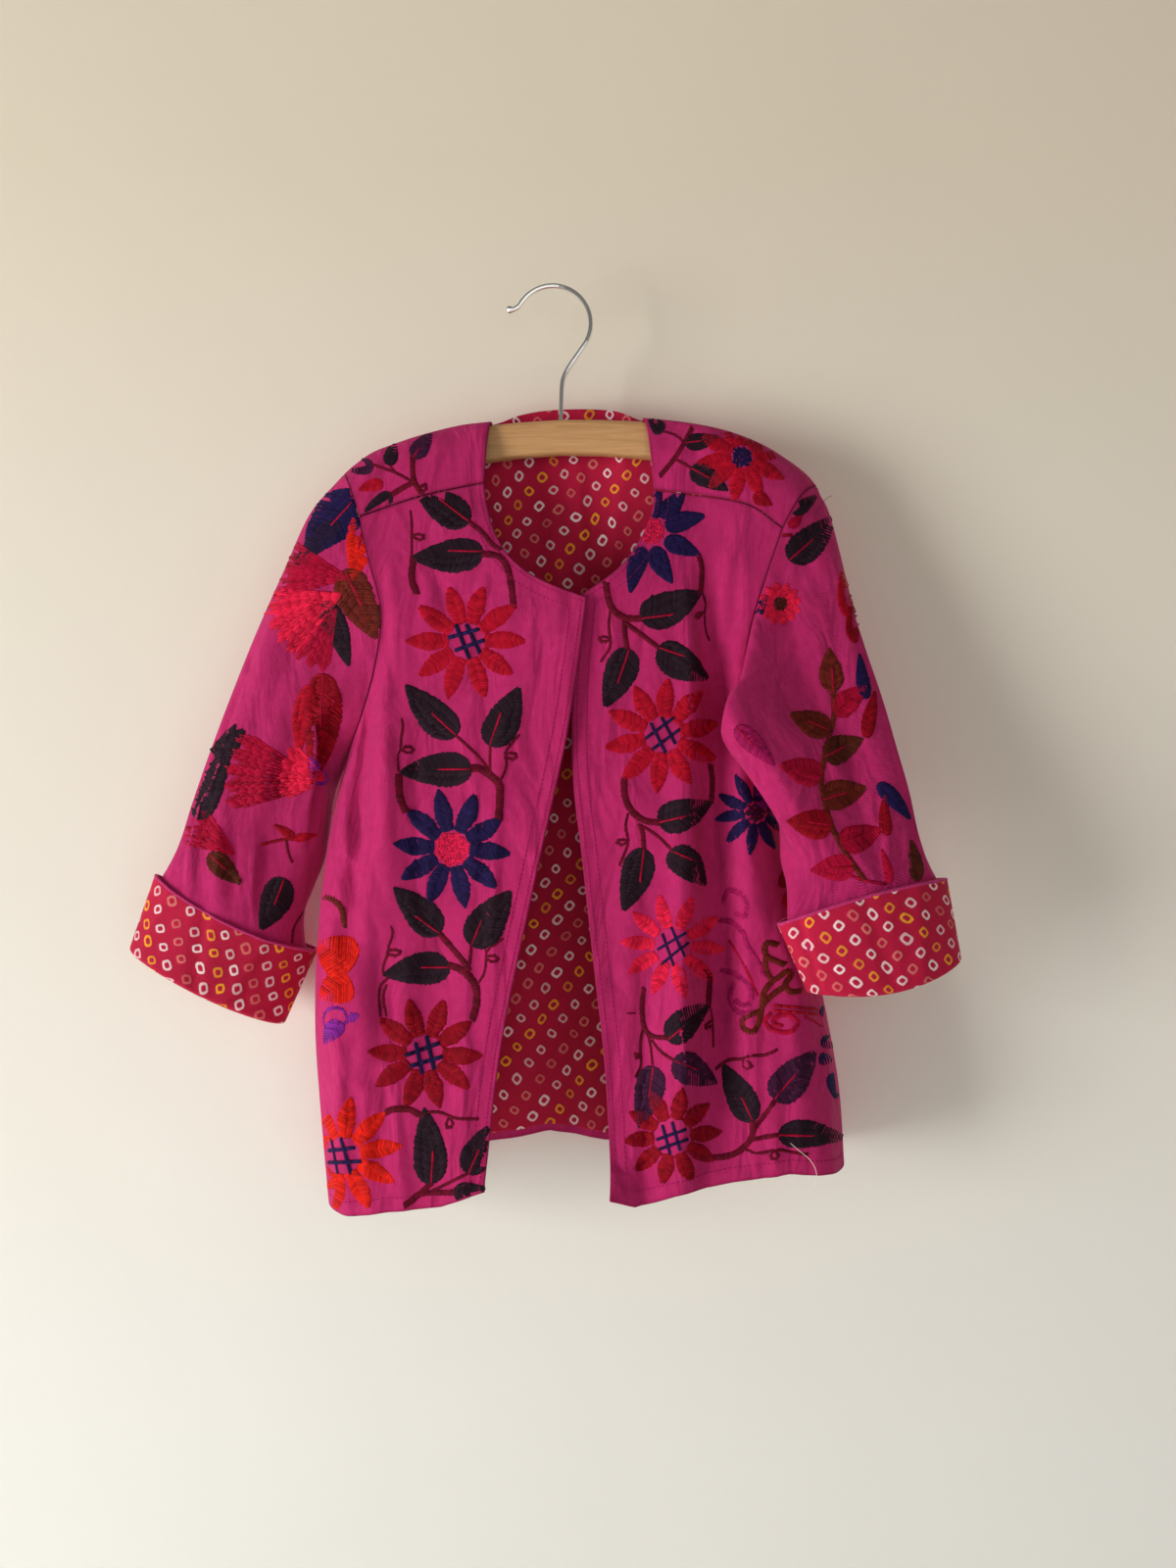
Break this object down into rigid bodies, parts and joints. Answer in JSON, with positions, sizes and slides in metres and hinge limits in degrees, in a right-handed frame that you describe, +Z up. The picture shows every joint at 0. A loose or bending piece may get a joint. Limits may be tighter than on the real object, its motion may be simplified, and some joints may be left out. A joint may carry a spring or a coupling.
{
  "type": "coat on a wooden hanger",
  "caption": "Child's magenta embroidered open-front jacket with crimson tie-dyed turned-back cuffs, hanging on a small pale wooden hanger.",
  "frame": {"origin": "inner top of the hanger's hook, where a peg or rail holds it, in the plane of the hanger", "axes": "+Z up, -Y to the front of the jacket, +X to the wearer's left"},
  "size_m": [0.5039, 0.1108, 0.5756],
  "materials": {
    "twill": "magenta cotton twill with thread embroidery",
    "lining": "crimson tie-dyed cotton with small white, yellow and salmon rings",
    "thread": "embroidery and sewing thread in many colours, satin",
    "wood": "pale pine, satin lacquer",
    "chrome": "polished"
  },
  "bodies": {
    "root": {"front_right": "twill", "front_left": "twill", "yoke_right": "twill", "yoke_left": "twill", "back": "twill", "back_lining": "lining", "sleeve_right": "twill", "sleeve_left": "twill", "cuff_right": "lining", "cuff_left": "lining", "hanger_bar": "wood", "hanger_hook": "chrome"}
  },
  "joints": []
}
